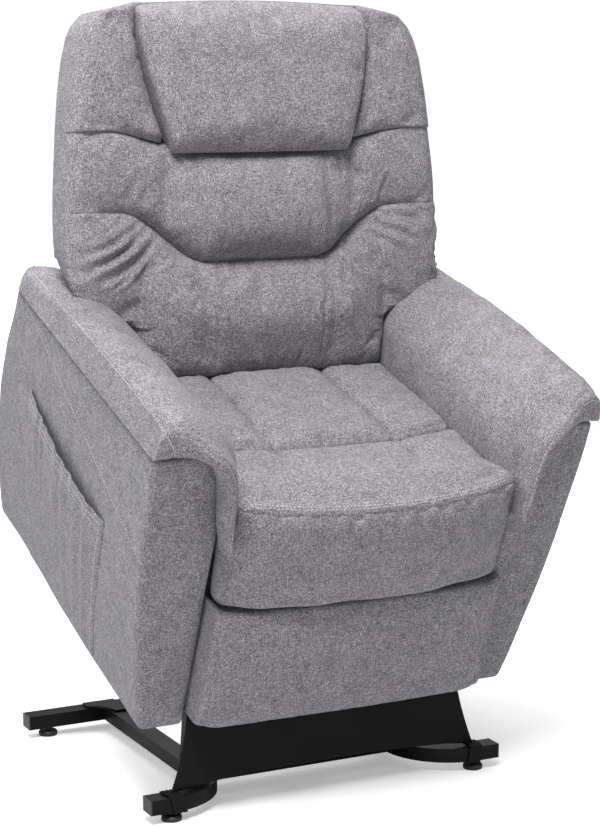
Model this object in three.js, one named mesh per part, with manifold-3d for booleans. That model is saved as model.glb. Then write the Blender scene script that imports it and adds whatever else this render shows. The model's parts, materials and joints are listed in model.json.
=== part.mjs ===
// Lift recliner chair, lifted to its standing-aid position.
// Millimetres, +Z up, the sitter faces -Y, and the sitter's right arm is on -X.
// The origin is on the floor, under the middle of the chair's box.
//
// The base stands on the floor. A four-bar linkage on it carries the chair. Everything on the
// chair is laid out in the chair's own frame, in which the seat is level, and the chair's group
// then tips that frame forward by liftTilt and raises it.
import * as THREE from 'three';
import { mergeVertices } from 'three/addons/utils/BufferGeometryUtils.js';
import Module from 'manifold-3d';

const wasm = await Module();
wasm.setup();

// ---------------------------------------------------------------- driving dimensions

const gap = 0.3; // between pieces that touch or turn in one another
const pinRadius = 6; // of every pivot pin
const linkHalf = 16; // half the width of a lift link
const liftLinkThick = 7;
const footLinkHalf = 12; // half the width of a footrest link
const baseShiftY = -202; // puts the origin under the middle of the chair's box

const liftTilt = THREE.MathUtils.degToRad(19.25);
const chairRestY = -28.5;
const chairRestZ = 109.8;

// Base
const tube = 36; // width of the base's flat-lying rectangular tube
const tubeHeight = 26;
const tubeWall = 2.5;
const tubeBottom = 18.5;
const tubeMiddle = tubeBottom + tubeHeight / 2;
const tubeTop = tubeBottom + tubeHeight;
const railX = 195;
const railBend = 110; // radius of the front bend, on the tube's centre line
const frontEndX = 343.5; // where the front tube stops and its cap begins
const rearBarY = 544;
const rearBarEndX = 364.5;
const frontFootX = 301;
const rearFootX = 323;
const capFlange = 2.5;
const actuatorBarY = 120;
const studHole = 5.6; // radius of the hole over a levelling foot's stud
const gussetThick = 4;

// Pivots of the lifting linkage: on the base in its frame, on the chair in the chair's frame
const frontBasePivot = [70, 149.3];
const rearBasePivot = [150, 156.5];
const frontChairPivot = [350, 105];
const rearChairPivot = [600, 105];
const liftLowerPin = [actuatorBarY, 110];
const liftUpperPin = [455, 276];

// Linkage planes, by the distance of their inner face from the middle
const rearLinkX = 190.5;
const baseBracketX = 198;
const frontLinkX = 204.5;
const chassisX = 212;
const footUpperLinkX = 226;
const footLowerLinkX = 234.5;
const footBracketX = 243;

// Footrest linkage, chair frame
const footPivot = [105, 262];
const footElbow = [154.6, 89];
const footPanelPivot = [78, 240];

// Seat, chair frame
const seatTop = 497;
const seatFrameZ = 315;
const seatTube = 30;
const seatRailX = 215;
const seatFrontRailY = 70;
const seatRearRailY = 455;
const backPin = [500, 300];
const cushionBottom = 337;

// Arms, chair frame
const armInnerX = 276;
const armOuterLowX = 363;
const armOuterLean = 50 / 545; // outward, for each millimetre up
const armBottom = 40;
const armTop = 585;

// Back, in its own frame: x across, y to the rear, z up along the back
const backOrigin = [491, 480];
const backLean = THREE.MathUtils.degToRad(23.3);
const reclineRearPin = [504, 230]; // on the crank of the back, chair frame
const reclineFrontPin = [230, 218];
const reclineX = 105;

// ---------------------------------------------------------------- materials

function material(colour, roughness, metalness = 0) {
  return new THREE.MeshStandardMaterial({ color: colour, roughness, metalness });
}

const fabric = () => material(0x84818a, 0.95);
const blackCloth = () => material(0x121214, 0.9);
const blackPaint = () => material(0x17181a, 0.45, 0.3);
const steel = () => material(0x8b8e92, 0.35, 0.9);
const plastic = () => material(0x1b1b1d, 0.6);
const wood = () => material(0xb08b5c, 0.7);

// ---------------------------------------------------------------- geometry helpers

function solid(geometry) {
  const bare = geometry.clone();
  bare.deleteAttribute('normal');
  bare.deleteAttribute('uv');
  const merged = mergeVertices(bare, 1e-4);
  return new wasm.Manifold(new wasm.Mesh({
    numProp: 3,
    vertProperties: new Float32Array(merged.attributes.position.array),
    triVerts: new Uint32Array(merged.index.array),
  }));
}

function geometryOf(manifold) {
  const mesh = manifold.getMesh();
  const geometry = new THREE.BufferGeometry();
  geometry.setAttribute('position', new THREE.BufferAttribute(new Float32Array(mesh.vertProperties), 3));
  geometry.setIndex(new THREE.BufferAttribute(new Uint32Array(mesh.triVerts), 1));
  geometry.computeVertexNormals();
  return geometry;
}

function union(...geometries) {
  return geometryOf(geometries.map(solid).reduce((sum, next) => sum.add(next)));
}

function cut(body, ...tools) {
  return geometryOf(tools.map(solid).reduce((left, tool) => left.subtract(tool), solid(body)));
}

function shapeOf(points) {
  return new THREE.Shape(points.map(([u, v]) => new THREE.Vector2(u, v)));
}

function extrude(outline, depth) {
  const shape = outline instanceof THREE.Shape ? outline : shapeOf(outline);
  return new THREE.ExtrudeGeometry(shape, { depth, bevelEnabled: false, curveSegments: 8 });
}

// A plate that stands across the chair: its outline is in y and z, and it runs from x to x + thick.
function sidePlate(outline, x, thick) {
  const toSide = new THREE.Matrix4().makeBasis(
    new THREE.Vector3(0, 1, 0), new THREE.Vector3(0, 0, 1), new THREE.Vector3(1, 0, 0));
  return extrude(outline, thick).applyMatrix4(toSide).translate(x, 0, 0);
}

// A plate that faces the front: its outline is in x and z, and it runs from y to y + thick.
function frontPlate(outline, y, thick) {
  return extrude(outline, thick).rotateX(Math.PI / 2).translate(0, y + thick, 0);
}

// A block between two corners.
function block(low, high) {
  const size = high.map((value, i) => value - low[i]);
  const middle = high.map((value, i) => (value + low[i]) / 2);
  return new THREE.BoxGeometry(...size).translate(...middle);
}

// A round bar across the chair, from x to x + length, on a point in y and z.
function crossRound([y, z], radius, x, length, sides = 24) {
  return new THREE.CylinderGeometry(radius, radius, length, sides)
    .rotateZ(Math.PI / 2)
    .translate(x + length / 2, y, z);
}

function uprightRound(x, y, low, high, radius, sides = 24) {
  return new THREE.CylinderGeometry(radius, radius, high - low, sides)
    .rotateX(Math.PI / 2)
    .translate(x, y, (low + high) / 2);
}

// A tube of rectangular section that is open at both ends, along x.
function hollowCrossTube(x0, x1, y, z, wide, wall, high = wide) {
  const [halfY, halfZ] = [wide / 2, high / 2];
  return cut(
    block([x0, y - halfY, z - halfZ], [x1, y + halfY, z + halfZ]),
    block(
      [x0 - 1, y - halfY + wall, z - halfZ + wall],
      [x1 + 1, y + halfY - wall, z + halfZ - wall],
    ),
  );
}

// The outline of a flat link with round ends and an eye at each end, of the two given radii.
function linkOutline([y0, z0], [y1, z1], half, firstEye, secondEye) {
  const angle = Math.atan2(z1 - z0, y1 - y0);
  const shape = new THREE.Shape();
  shape.absarc(y0, z0, half, angle + Math.PI / 2, angle + 1.5 * Math.PI);
  shape.absarc(y1, z1, half, angle - Math.PI / 2, angle + Math.PI / 2);
  shape.closePath();
  for (const [y, z, radius] of [[y0, z0, firstEye], [y1, z1, secondEye]]) {
    const eye = new THREE.Path();
    eye.absarc(y, z, radius, 0, 2 * Math.PI, true);
    shape.holes.push(eye);
  }
  return shape;
}

// Makes a right-hand piece, or its mirror image on the left. Sides are the sitter's own.
function mirrored(geometry, side) {
  if (side > 0) {
    return geometry;
  }
  const copy = geometry.index ? geometry.toNonIndexed() : geometry.clone();
  const position = copy.attributes.position;
  for (let i = 0; i < position.count; i += 3) {
    const corners = [0, 2, 1].map((k) => new THREE.Vector3().fromBufferAttribute(position, i + k));
    corners.forEach((corner, k) => position.setXYZ(i + k, -corner.x, corner.y, corner.z));
  }
  copy.computeVertexNormals();
  return copy;
}

const sides = [['left', 1], ['right', -1]];

function add(group, name, geometry, itsMaterial) {
  const mesh = new THREE.Mesh(geometry, itsMaterial);
  mesh.name = name;
  group.add(mesh);
}

// ---------------------------------------------------------------- base

// Half the plan of a side rail: straight from the rear bar, round the bend, and out to the side.
function railPlan(half, rearY, endX) {
  const centreX = railX + railBend;
  const shape = new THREE.Shape();
  shape.moveTo(railX - half, rearY);
  shape.lineTo(railX - half, railBend);
  shape.absarc(centreX, railBend, railBend + half, Math.PI, 1.5 * Math.PI);
  shape.lineTo(endX, -half);
  shape.lineTo(endX, half);
  shape.absarc(centreX, railBend, railBend - half, 1.5 * Math.PI, Math.PI, true);
  shape.lineTo(railX + half, rearY);
  shape.closePath();
  return shape;
}

function sideRail() {
  const rearY = rearBarY - tube / 2 - gap;
  const borePlan = railPlan(tube / 2 - tubeWall, rearY + 1, frontEndX + 1);
  const outer = extrude(railPlan(tube / 2, rearY, frontEndX), tubeHeight).translate(0, 0, tubeBottom);
  const bore = extrude(borePlan, tubeHeight - 2 * tubeWall).translate(0, 0, tubeBottom + tubeWall);
  const stud = uprightRound(frontFootX, 0, tubeBottom - 1, tubeBottom + tubeWall + 1, studHole, 16);
  return cut(outer, bore, stud);
}

function rearCrossbar() {
  const bar = hollowCrossTube(
    -rearBarEndX, rearBarEndX, rearBarY, tubeMiddle, tube, tubeWall, tubeHeight);
  const studs = [-rearFootX, rearFootX].map((x) => (
    uprightRound(x, rearBarY, tubeBottom - 1, tubeBottom + tubeWall + 1, studHole, 16)));
  return cut(bar, ...studs);
}

// A curved corner plate on top of the rail and the rear crossbar. Its outer end stops short of
// the arm, which comes down beside it when the chair is lowered.
function cornerGusset() {
  const inset = 6; // of its edges from the tubes' sides
  const strip = tube - 2 * inset;
  const rearLeg = 40;
  const sideLeg = 74;
  const x = railX + tube / 2 - inset;
  const y = rearBarY + tube / 2 - inset;
  const plate = new THREE.Shape();
  plate.moveTo(x, y);
  plate.lineTo(x - strip, y);
  plate.lineTo(x - strip, y - sideLeg);
  plate.lineTo(x, y - sideLeg);
  plate.quadraticCurveTo(x + 4, y - strip - 12, x + rearLeg, y - strip);
  plate.lineTo(x + rearLeg, y);
  plate.closePath();
  return extrude(plate, gussetThick).translate(0, 0, tubeTop + gap);
}

function endCap(x, y) {
  const half = tube / 2;
  const plugDepth = 12;
  const plugY = half - tubeWall - gap;
  const plugZ = tubeHeight / 2 - tubeWall - gap;
  return union(
    block([x + gap, y - half, tubeBottom], [x + capFlange, y + half, tubeTop]),
    block(
      [x - plugDepth, y - plugY, tubeMiddle - plugZ],
      [x + capFlange - 1, y + plugY, tubeMiddle + plugZ],
    ),
  );
}

// A crossbar between the rails, with the two ears that hold the lift actuator's lower pin.
function actuatorCrossbar() {
  const end = railX - tube / 2 - gap;
  const bar = hollowCrossTube(-end, end, actuatorBarY, tubeMiddle, tube, tubeWall, tubeHeight);
  const [y, z] = liftLowerPin;
  const ears = [-26, 20].map((x) => block([x, y - 14, tubeTop - 1], [x + 6, y + 14, z + 12]));
  return union(bar, ...ears, crossRound(liftLowerPin, pinRadius, -25, 50));
}

// The plate that carries a front and a rear base pivot, with their pins. Its front edge is stepped
// back below the front pin, where the skirt bar swings past it.
function pivotBracket() {
  const [frontY, frontZ] = frontBasePivot;
  const [rearY, rearZ] = rearBasePivot;
  const foot = tubeTop + gap;
  const outline = [
    [frontY - 6, foot], [rearY + 34, foot], [rearY + 17, rearZ + 8], [rearY, rearZ + 17],
    [frontY - 3, frontZ + 17], [frontY - 12, frontZ + 6], [frontY - 12, frontZ - 8],
    [frontY - 6, frontZ - 16],
  ];
  return union(
    sidePlate(outline, baseBracketX, 6),
    crossRound(frontBasePivot, pinRadius, baseBracketX + 5, frontLinkX - baseBracketX + 2.5),
    crossRound(rearBasePivot, pinRadius, rearLinkX, baseBracketX - rearLinkX + 1),
  );
}

function levellingFoot(x, y) {
  const disc = new THREE.LatheGeometry([
    new THREE.Vector2(0, 0), new THREE.Vector2(17, 0), new THREE.Vector2(18, 2),
    new THREE.Vector2(18, 7), new THREE.Vector2(15.5, 9.5), new THREE.Vector2(5, 10),
    new THREE.Vector2(5, 36), new THREE.Vector2(0, 36),
  ], 20);
  return disc.rotateX(Math.PI / 2).translate(x, y, 0);
}

function makeBase() {
  const base = new THREE.Group();
  for (const [side, sign] of sides) {
    add(base, `base_rail_${side}`, mirrored(sideRail(), sign), blackPaint());
    add(base, `base_corner_gusset_${side}`, mirrored(cornerGusset(), sign), blackPaint());
    add(base, `base_pivot_bracket_${side}`, mirrored(pivotBracket(), sign), blackPaint());
    add(base, `end_cap_front_${side}`, mirrored(endCap(frontEndX, 0), sign), plastic());
    add(base, `end_cap_rear_${side}`, mirrored(endCap(rearBarEndX, rearBarY), sign), plastic());
    add(base, `levelling_foot_front_${side}`, levellingFoot(sign * frontFootX, 0), plastic());
    add(base, `levelling_foot_rear_${side}`, levellingFoot(sign * rearFootX, rearBarY), plastic());
  }
  add(base, 'base_rear_crossbar', rearCrossbar(), blackPaint());
  add(base, 'base_actuator_crossbar', actuatorCrossbar(), blackPaint());
  return base;
}

// ---------------------------------------------------------------- lifting linkage

// A point of the chair's frame, in the frame of the base.
function toBase([y, z]) {
  const cos = Math.cos(liftTilt);
  const sin = Math.sin(liftTilt);
  return [cos * y - sin * z + chairRestY, sin * y + cos * z + chairRestZ];
}

function along([y0, z0], [y1, z1], share) {
  return [y0 + share * (y1 - y0), z0 + share * (z1 - z0)];
}

function makeLiftLinks() {
  const links = new THREE.Group();
  const eye = pinRadius + gap;
  const looseEye = eye + 1.2; // the front link's upper eye takes up the linkage's small errors
  const frontTop = toBase(frontChairPivot);
  const rearTop = toBase(rearChairPivot);
  const frontOutline = linkOutline(frontBasePivot, frontTop, linkHalf, eye, looseEye);
  const rearOutline = linkOutline(rearBasePivot, rearTop, linkHalf, eye, eye);
  for (const [side, sign] of sides) {
    const front = sidePlate(frontOutline, frontLinkX, liftLinkThick);
    const rear = sidePlate(rearOutline, rearLinkX, liftLinkThick);
    add(links, `front_lift_link_${side}`, mirrored(front, sign), blackPaint());
    add(links, `rear_lift_link_${side}`, mirrored(rear, sign), blackPaint());
  }
  const end = rearLinkX - gap;
  const tubeAt = along(rearBasePivot, rearTop, 0.35);
  add(links, 'rear_link_cross_tube', crossRound(tubeAt, 12.5, -end, 2 * end), blackPaint());
  return links;
}

// ---------------------------------------------------------------- chassis and seat frame

function chassisPlate() {
  const outline = [
    [330, 80], [625, 80], [625, 128], [500, 200], [455, 299], [80, 299], [80, 246], [130, 238],
    [230, 200], [320, 128],
  ];
  const pinRoot = chassisX + 1;
  return union(
    sidePlate(outline, chassisX, 6),
    crossRound(frontChairPivot, pinRadius, frontLinkX, pinRoot - frontLinkX),
    crossRound(rearChairPivot, pinRadius, rearLinkX, pinRoot - rearLinkX),
    crossRound(footPivot, pinRadius, chassisX + 5, footUpperLinkX + 1 - chassisX),
  );
}

// Two ears that reach up to a cross tube, and the pin between them, for one end of an actuator.
function actuatorEars(x, [y, z], top) {
  return [
    block([x - 26, y - 14, z - 14], [x - 20, y + 14, top]),
    block([x + 20, y - 14, z - 14], [x + 26, y + 14, top]),
    crossRound([y, z], pinRadius, x - 25, 50),
  ];
}

// The front cross tube, with ears for the front end of the recline actuator.
function chassisFrontTube() {
  const end = chassisX - gap;
  const ears = actuatorEars(reclineX, reclineFrontPin, 249);
  return union(hollowCrossTube(-end, end, 230, 263, 30, 2.5), ...ears);
}

// The rear cross tube lies above the rear lift links as they stand with the chair lowered.
function chassisRearTube() {
  const end = chassisX - gap;
  return hollowCrossTube(-end, end, 545, 148, 30, 2.5);
}

// A side rail of the seat frame, with the bracket and pin of the back hinge.
function seatRail() {
  const half = seatTube / 2;
  const low = seatFrameZ - half;
  const wall = 2.5;
  const rail = cut(
    block([seatRailX - half, 55, low], [seatRailX + half, 470, low + seatTube]),
    block(
      [seatRailX - half + wall, 54, low + wall],
      [seatRailX + half - wall, 471, low + seatTube - wall],
    ),
  );
  const outline = [[400, 301], [430, 329], [505, 322], [514, 306], [510, 289], [496, 285], [440, 301]];
  const bracket = sidePlate(outline, seatRailX + half - 1, 7);
  const arms = [110, 400].map((y) => (
    block([seatRailX + half - 1, y, 302], [armInnerX - gap, y + 40, 308])));
  return union(rail, bracket, ...arms, crossRound(backPin, pinRadius, seatRailX - 12, half + 14));
}

function seatCrossRail(y) {
  const end = seatRailX - seatTube / 2 - gap;
  return hollowCrossTube(-end, end, y, seatFrameZ, seatTube, 2.5);
}

// The rear rail, with ears for the upper end of the lift actuator.
function seatRearRail() {
  return union(seatCrossRail(seatRearRailY), ...actuatorEars(0, liftUpperPin, seatFrameZ - 14));
}

// Five wavy wires, held by a strip along the front rail and one along the rear rail.
function seatSprings() {
  const low = seatFrameZ + seatTube / 2 + gap;
  const front = seatFrontRailY - 10;
  const rear = seatRearRailY + 10;
  const strips = [front, rear - 20].map((y) => block([-190, y, low], [190, y + 20, low + 6]));
  const waves = 6;
  const wires = [-150, -75, 0, 75, 150].map((x) => {
    const points = [];
    for (let i = 0; i <= 4 * waves; i += 1) {
      const share = i / (4 * waves);
      const swing = 18 * Math.sin(share * waves * 2 * Math.PI);
      points.push(new THREE.Vector3(x + swing, front + 10 + share * (rear - front - 20), low + 3));
    }
    const path = new THREE.CatmullRomCurve3(points);
    const section = shapeOf([[2.2, 0], [0, 2.2], [-2.2, 0], [0, -2.2]]);
    return new THREE.ExtrudeGeometry(section, { extrudePath: path, steps: 42 });
  });
  return union(...strips, ...wires);
}

function seatCushion() {
  const rear = 478;
  const front = -30;
  const tee = [
    [-247, cushionBottom], [247, cushionBottom], [247, seatTop - 12], [235, seatTop],
    [-235, seatTop], [-247, seatTop - 12],
  ];
  return union(
    frontPlate(tee, front, rear - front),
    block([-270, front, 296], [270, 50, 404]),
  );
}

function makeSeat(chair) {
  for (const [side, sign] of sides) {
    add(chair, `chassis_plate_${side}`, mirrored(chassisPlate(), sign), blackPaint());
    add(chair, `seat_rail_${side}`, mirrored(seatRail(), sign), blackPaint());
  }
  add(chair, 'chassis_front_tube', chassisFrontTube(), blackPaint());
  add(chair, 'chassis_rear_tube', chassisRearTube(), blackPaint());
  add(chair, 'seat_front_rail', seatCrossRail(seatFrontRailY), blackPaint());
  add(chair, 'seat_rear_rail', seatRearRail(), blackPaint());
  add(chair, 'seat_springs', seatSprings(), steel());
  add(chair, 'seat_cushion', seatCushion(), fabric());
  add(chair, 'control_box', block([-175, 350, 240], [-65, 438, 299.5]), plastic());
}

// ---------------------------------------------------------------- arms

// The outer face leans outward going up, so each point is moved by how high it is.
function leanOuterFace(geometry, lowX) {
  const position = geometry.attributes.position;
  for (let i = 0; i < position.count; i += 1) {
    if (position.getX(i) > lowX - 1) {
      position.setX(i, position.getX(i) + (position.getZ(i) - armBottom) * armOuterLean);
    }
  }
  return geometry;
}

function armBody() {
  const outline = [
    [48, 39], [64, 34], [740, 42], [768, 70], [768, 158], [700, 540], [682, armTop], [13, armTop],
  ];
  return leanOuterFace(sidePlate(outline, armInnerX, armOuterLowX - armInnerX), armOuterLowX);
}

// The pad lies over the arm, and its inner flap and front tongue hang down beside the seat.
function armPad() {
  const low = armTop + gap;
  const top = [
    [12, low], [676, low], [676, 596], [660, 606], [268, 650],
    [-22, 650], [-38, 636], [-38, 596], [-26, low],
  ];
  const slab = sidePlate(top, 250, 148);
  const overArm = leanOuterFace(sidePlate(top, armInnerX, 88), 360);
  const flap = block([250, -26, 430], [armInnerX - gap, 560, 600]);
  const tongue = [
    [250, 600], [250, 474], [268, 418], [292, 407], [300, 430], [314, 530], [316, 600],
  ];
  return union(slab, overArm, flap, frontPlate(tongue, -30, 41));
}

// A cloth pocket on the outside of the right arm, open along its top edge.
function storagePocket() {
  const outline = [[190, 377], [560, 434], [596, 62], [258, 50]];
  const inside = [[202, 388], [552, 444], [584, 74], [262, 62]];
  const pocketDepth = 15;
  const start = armOuterLowX + gap;
  const outer = leanOuterFace(sidePlate(outline, start, pocketDepth), armOuterLowX);
  const hollow = leanOuterFace(sidePlate(inside, start - 0.9, pocketDepth - 3), armOuterLowX);
  return cut(outer, hollow);
}

// The small framed slot that the hand control's cord goes through.
function cordGrommet() {
  const centreY = 273;
  const centreZ = 498;
  const frame = new THREE.Shape();
  frame.absellipse(centreY, centreZ, 8, 14, 0, 2 * Math.PI);
  const slot = new THREE.Path();
  slot.absellipse(centreY, centreZ, 2, 8, 0, 2 * Math.PI, true);
  frame.holes.push(slot);
  return leanOuterFace(sidePlate(frame, armOuterLowX + gap, 2.5), armOuterLowX);
}

function makeArms(chair) {
  for (const [side, sign] of sides) {
    add(chair, `arm_body_${side}`, mirrored(armBody(), sign), fabric());
    add(chair, `arm_pad_${side}`, mirrored(armPad(), sign), fabric());
  }
  add(chair, 'storage_pocket', mirrored(storagePocket(), -1), fabric());
  add(chair, 'cord_grommet', mirrored(cordGrommet(), -1), plastic());
  const end = armInnerX - gap;
  add(chair, 'skirt_bar', block([-end, 66, 58], [end, 72.5, 66]), blackPaint());
}

// ---------------------------------------------------------------- back

// Mirrors the right half of an outline, given from the middle of the bottom to the middle of the top.
function bothHalves(half) {
  return [...half, ...half.map(([x, z]) => [-x, z]).reverse()];
}

function backUpright() {
  const wall = 2;
  const upright = cut(
    block([204, 62, -176], [228.7, 87, 590]),
    block([204 + wall, 62 + wall, -177], [228.7 - wall, 87 - wall, 591]),
  );
  const hole = crossRound(toBack(backPin), pinRadius + gap, 200, 40);
  return cut(upright, hole);
}

// The lower cross tube of the back, with the crank that the recline actuator pulls.
function backLowerTube() {
  const [pinY, pinZ] = toBack(reclineRearPin);
  const cranks = [-26, 20].map((x) => sidePlate(
    [[pinY - 12, pinZ - 10], [pinY + 12, pinZ - 10], [84, -148], [66, -148]], reclineX + x, 6));
  return union(
    hollowCrossTube(-203.7, 203.7, 74.5, -137, 24, 2),
    ...cranks,
    crossRound([pinY, pinZ], pinRadius, reclineX - 25, 50),
  );
}

// A point of the chair's frame, in the frame of the back.
function toBack([y, z]) {
  const fromY = y - backOrigin[0];
  const fromZ = z - backOrigin[1];
  const cos = Math.cos(backLean);
  const sin = Math.sin(backLean);
  return [cos * fromY - sin * fromZ, sin * fromY + cos * fromZ];
}

const backFront = 36; // where the cushions end and the shell begins
const backRear = 102;

function backShell() {
  const outline = bothHalves([
    [228, -60], [234, 180], [300, 232], [366, 246], [374, 300], [362, 440], [336, 600],
    [318, 632], [270, 646],
  ]);
  const cavity = bothHalves([[231.5, -61], [231.5, 200], [320, 262], [330, 420], [304, 610]]);
  return cut(
    frontPlate(outline, backFront + gap, backRear - backFront - gap),
    frontPlate(cavity, backFront - 1, backRear - 12 - backFront + 1),
  );
}

function backCushions(back) {
  const lumbar = bothHalves([
    [232, 12], [236, 176], [300, 216], [388, 227], [386, 288], [232, 269], [135, 205],
  ]);
  const middle = bothHalves([
    [135, 209], [232, 273], [386, 292], [380, 380], [368, 433], [254, 428], [165, 406],
  ]);
  const upper = bothHalves([
    [165, 410], [254, 432], [368, 437], [352, 560], [334, 622], [300, 642], [200, 652],
  ]);
  const pillow = bothHalves([
    [165, 410], [232, 480], [250, 554], [236, 620], [222, 658], [180, 668],
  ]);
  add(back, 'lumbar_cushion', frontPlate(lumbar, -55, 55 + backFront), fabric());
  add(back, 'middle_cushion', frontPlate(middle, -55, 55 + backFront), fabric());
  add(back, 'upper_cushion', frontPlate(upper, -20, 20 + backFront), fabric());
  add(back, 'headrest_pillow', frontPlate(pillow, -75, 54.7), fabric());
}

function makeBack() {
  const back = new THREE.Group();
  back.position.set(0, backOrigin[0], backOrigin[1]);
  back.rotation.x = -backLean;
  for (const [side, sign] of sides) {
    add(back, `back_upright_${side}`, mirrored(backUpright(), sign), blackPaint());
  }
  add(back, 'back_lower_tube', backLowerTube(), blackPaint());
  add(back, 'back_upper_tube', hollowCrossTube(-203.7, 203.7, 74.5, 551, 22, 2), blackPaint());
  add(back, 'back_shell', backShell(), fabric());
  backCushions(back);
  return back;
}

// ---------------------------------------------------------------- footrest

function footrestBoard() {
  const [y, z] = footPanelPivot;
  const brackets = [1, -1].map((sign) => mirrored(union(
    sidePlate([[59, 150], [66, 150], [90, z - 14], [90, z + 12], [59, z + 12]], footBracketX, 5),
    crossRound([y, z], pinRadius, footLowerLinkX, footBracketX + 1 - footLowerLinkX),
  ), sign));
  return union(block([-262, 46, 68], [262, 60, 282]), ...brackets);
}

function makeFootrest(chair) {
  const eye = pinRadius + gap;
  const thick = 6;
  const upperOutline = linkOutline(footPivot, footElbow, footLinkHalf, eye, eye);
  const lowerOutline = linkOutline(footElbow, footPanelPivot, footLinkHalf, eye, eye);
  for (const [side, sign] of sides) {
    const upper = union(
      sidePlate(upperOutline, footUpperLinkX, thick),
      crossRound(footElbow, pinRadius + 2, footUpperLinkX, thick),
      crossRound(footElbow, pinRadius, footUpperLinkX + thick - 1, footLowerLinkX - footUpperLinkX + 1),
    );
    const lower = sidePlate(lowerOutline, footLowerLinkX, thick);
    add(chair, `footrest_upper_link_${side}`, mirrored(upper, sign), blackPaint());
    add(chair, `footrest_lower_link_${side}`, mirrored(lower, sign), blackPaint());
  }
  const tubeAt = along(footPivot, footElbow, 0.3);
  const end = footUpperLinkX - gap;
  add(chair, 'footrest_cross_tube', crossRound(tubeAt, 10, -end, 2 * end), blackPaint());
  add(chair, 'footrest_board', footrestBoard(), wood());
  const pad = [[-275, 66], [-265, 56], [265, 56], [275, 66], [271, 290], [-271, 290]];
  add(chair, 'footrest_pad', frontPlate(pad, -8, 53.7), fabric());
}

// ---------------------------------------------------------------- actuators

// A housing along +z from its lower pin: gearbox, motor beside it, and the outer tube.
function actuatorHousing(tubeLength, motorSide) {
  const eye = new THREE.CylinderGeometry(pinRadius + gap, pinRadius + gap, 60, 24).rotateZ(Math.PI / 2);
  const motor = new THREE.CylinderGeometry(21, 21, 96, 20).rotateX(Math.PI / 2)
    .translate(motorSide * 48, 0, 92);
  const body = union(
    block([-19, -13, -13], [19, 13, 14]),
    block([-19, -26, 12], [19, 26, 62]),
    block([Math.min(0, motorSide * 69), -20, 26], [Math.max(0, motorSide * 69), 20, 50]),
    motor,
    new THREE.CylinderGeometry(17, 17, tubeLength - 60, 20).rotateX(Math.PI / 2)
      .translate(0, 0, (tubeLength + 60) / 2),
  );
  const bore = new THREE.CylinderGeometry(11, 11, tubeLength, 20).rotateX(Math.PI / 2)
    .translate(0, 0, tubeLength / 2 + 64);
  return cut(body, eye, bore);
}

// A rod along +z that ends in an eye for the upper pin, at the given length from the lower pin.
function actuatorRod(rodStart, pinAt, looseness) {
  const eyeRadius = pinRadius + looseness;
  const eye = new THREE.CylinderGeometry(eyeRadius, eyeRadius, 60, 24).rotateZ(Math.PI / 2)
    .translate(0, 0, pinAt);
  const rod = new THREE.CylinderGeometry(10, 10, pinAt - 8 - rodStart, 20).rotateX(Math.PI / 2)
    .translate(0, 0, (pinAt - 8 + rodStart) / 2);
  const head = crossRound([0, pinAt], eyeRadius + 5.5, -15, 30);
  return cut(union(rod, head), eye);
}

// Turns a group's +z to point from one pin to another, both given as y and z.
function aim(group, x, [y0, z0], [y1, z1]) {
  group.position.set(x, y0, z0);
  group.rotation.x = Math.atan2(z1 - z0, y1 - y0) - Math.PI / 2;
}

function distance([y0, z0], [y1, z1]) {
  return Math.hypot(y1 - y0, z1 - z0);
}

function makeLiftActuator() {
  const actuator = new THREE.Group();
  const upper = toBase(liftUpperPin);
  aim(actuator, 0, liftLowerPin, upper);
  const pinAt = distance(liftLowerPin, upper);
  add(actuator, 'lift_actuator_housing', actuatorHousing(320, -1), plastic());
  add(actuator, 'lift_actuator_rod', actuatorRod(pinAt - 285, pinAt, 4.8), steel());
  return actuator;
}

function makeReclineActuator() {
  const actuator = new THREE.Group();
  aim(actuator, reclineX, reclineFrontPin, reclineRearPin);
  const pinAt = distance(reclineFrontPin, reclineRearPin);
  add(actuator, 'recline_actuator_housing', actuatorHousing(200, -1), plastic());
  add(actuator, 'recline_actuator_rod', actuatorRod(pinAt - 155, pinAt, 5), steel());
  return actuator;
}

// ---------------------------------------------------------------- skirt

// The taut cloth between the skirt bar and the front of the base.
function frontSkirt() {
  const [barY, barZ] = toBase([62, 62]);
  const bottom = tubeTop + 0.6;
  const thick = 2.5;
  const outline = [[-1.2, bottom], [thick - 1.2, bottom], [barY + thick, barZ + 8], [barY, barZ + 8]];
  const cloth = sidePlate(outline, -312, 624);
  const sideCut = [
    [272, barZ + 20], [262, barZ - 40], [272, 90], [304, bottom - 1], [320, bottom - 1],
    [320, barZ + 20],
  ];
  const trims = [1, -1].map((sign) => mirrored(frontPlate(sideCut, -40, 120), sign));
  return cut(cloth, ...trims);
}

// ---------------------------------------------------------------- the whole chair

const chair = new THREE.Group();
chair.position.set(0, chairRestY, chairRestZ);
chair.rotation.x = liftTilt;
makeSeat(chair);
makeArms(chair);
makeFootrest(chair);
chair.add(makeBack());
chair.add(makeReclineActuator());

const liftChair = new THREE.Group();
liftChair.position.y = baseShiftY;
liftChair.add(makeBase());
liftChair.add(makeLiftLinks());
liftChair.add(makeLiftActuator());
liftChair.add(chair);
add(liftChair, 'front_skirt', frontSkirt(), blackCloth());

export default liftChair;
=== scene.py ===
"""Looks of the lift recliner chair: upholstery, stitching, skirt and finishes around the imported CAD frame.

Upholstery is shaped in millimetres in two local frames, the tilted chair frame and the leaning back frame,
and is placed in the row frame, in metres, by the position of the recline pin.
"""

import json
import math

import bpy
import numpy as np
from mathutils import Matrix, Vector, noise
from mathutils.bvhtree import BVHTree


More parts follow.
